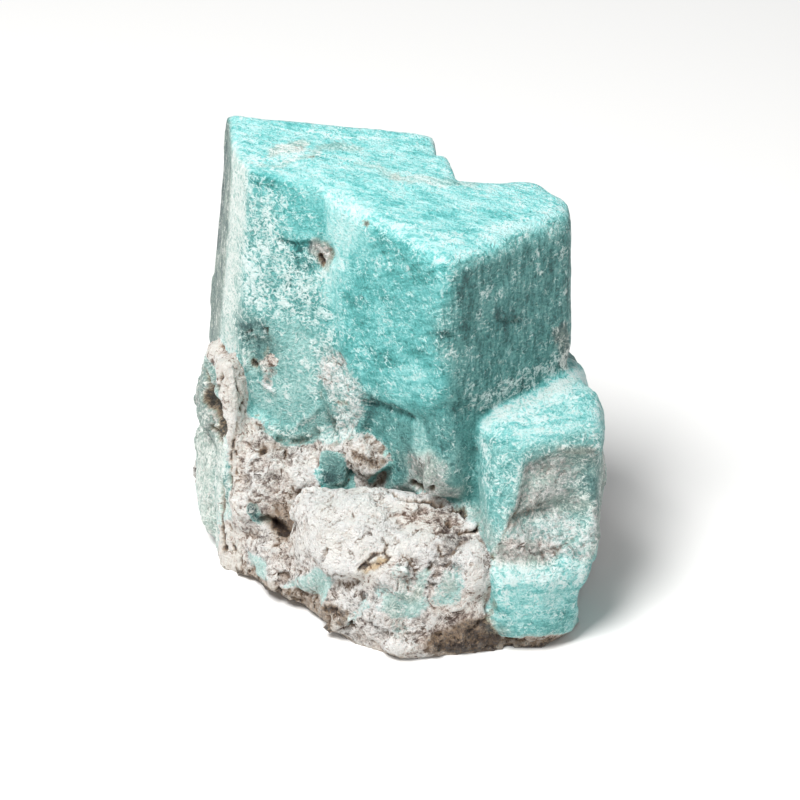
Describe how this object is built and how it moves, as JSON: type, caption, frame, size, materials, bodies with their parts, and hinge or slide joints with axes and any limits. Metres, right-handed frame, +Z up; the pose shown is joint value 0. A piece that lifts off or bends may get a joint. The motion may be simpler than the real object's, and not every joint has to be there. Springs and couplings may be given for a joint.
{
  "type": "rough amazonite",
  "caption": "Hand-sized rough mineral specimen: blocky blue-green crystals on lumpy white rock, standing on a flat foot.",
  "frame": {"origin": "the middle of the stone's outline, on the surface it stands on", "axes": "+Z up, along the tall crystals and the longest extent; -Y towards the front edge of the squarer crystal and the white ledge; +X towards the low side crystal"},
  "size_m": [0.055, 0.0438, 0.057],
  "materials": {
    "amazonite": "matte"
  },
  "bodies": {
    "root": {"rough_amazonite": "amazonite"}
  },
  "joints": []
}
